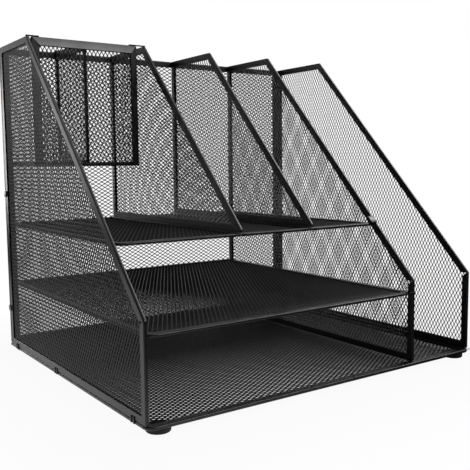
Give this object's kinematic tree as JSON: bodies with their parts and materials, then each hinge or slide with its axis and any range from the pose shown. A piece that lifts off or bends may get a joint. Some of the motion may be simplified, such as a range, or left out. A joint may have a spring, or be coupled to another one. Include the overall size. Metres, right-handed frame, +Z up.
{
  "type": "desk organizer",
  "caption": "Black mesh desk organizer with paper trays under a shelf, upright file slots of slanted panels and a lift-out pen caddy at the upper left.",
  "frame": {"origin": "on the desk, under the middle of the object's bounding box", "axes": "+X to the object's right seen from the front, +Y to the back panel, +Z up; the open front faces -Y"},
  "size_m": [0.3616, 0.308, 0.313],
  "materials": {
    "frame_steel": "satin black powder coat",
    "mesh_steel": "satin black powder coat on expanded mesh",
    "foot_rubber": "matte black rubber"
  },
  "bodies": {
    "organizer": {"back_panel_frame": "frame_steel", "back_panel_left_clasps": "frame_steel", "back_panel_mesh": "mesh_steel", "back_panel_right_clasps": "frame_steel", "base_frame": "frame_steel", "base_mesh": "mesh_steel", "divider_foot_hooks": "frame_steel", "foot_front_left": "foot_rubber", "foot_front_right": "foot_rubber", "foot_rear_left": "foot_rubber", "foot_rear_right": "foot_rubber", "left_divider_foot_strip": "frame_steel", "left_divider_frame": "frame_steel", "left_divider_mesh": "mesh_steel", "left_panel_frame": "frame_steel", "left_panel_mesh": "mesh_steel", "left_panel_tabs": "frame_steel", "middle_panel_frame": "frame_steel", "middle_panel_mesh": "mesh_steel", "middle_shelf_frame": "frame_steel", "middle_shelf_hook": "frame_steel", "middle_shelf_mesh": "mesh_steel", "right_divider_foot_strip": "frame_steel", "right_divider_frame": "frame_steel", "right_divider_mesh": "mesh_steel", "right_panel_frame": "frame_steel", "right_panel_mesh": "mesh_steel", "right_panel_tabs": "frame_steel", "top_shelf_frame": "frame_steel", "top_shelf_hook": "frame_steel", "top_shelf_mesh": "mesh_steel"},
    "pen_caddy": {"caddy_bottom_frame": "frame_steel", "caddy_bottom_mesh": "mesh_steel", "caddy_divider_frame": "frame_steel", "caddy_divider_mesh": "mesh_steel", "caddy_front_frame": "frame_steel", "caddy_front_mesh": "mesh_steel", "caddy_rear_hook": "frame_steel", "caddy_side_tabs": "frame_steel"}
  },
  "joints": [
    {"name": "pen_caddy_lift", "type": "slide", "parent": "organizer", "child": "pen_caddy", "axis": [0, 0, 1], "range_m": [0, 0.125]}
  ]
}
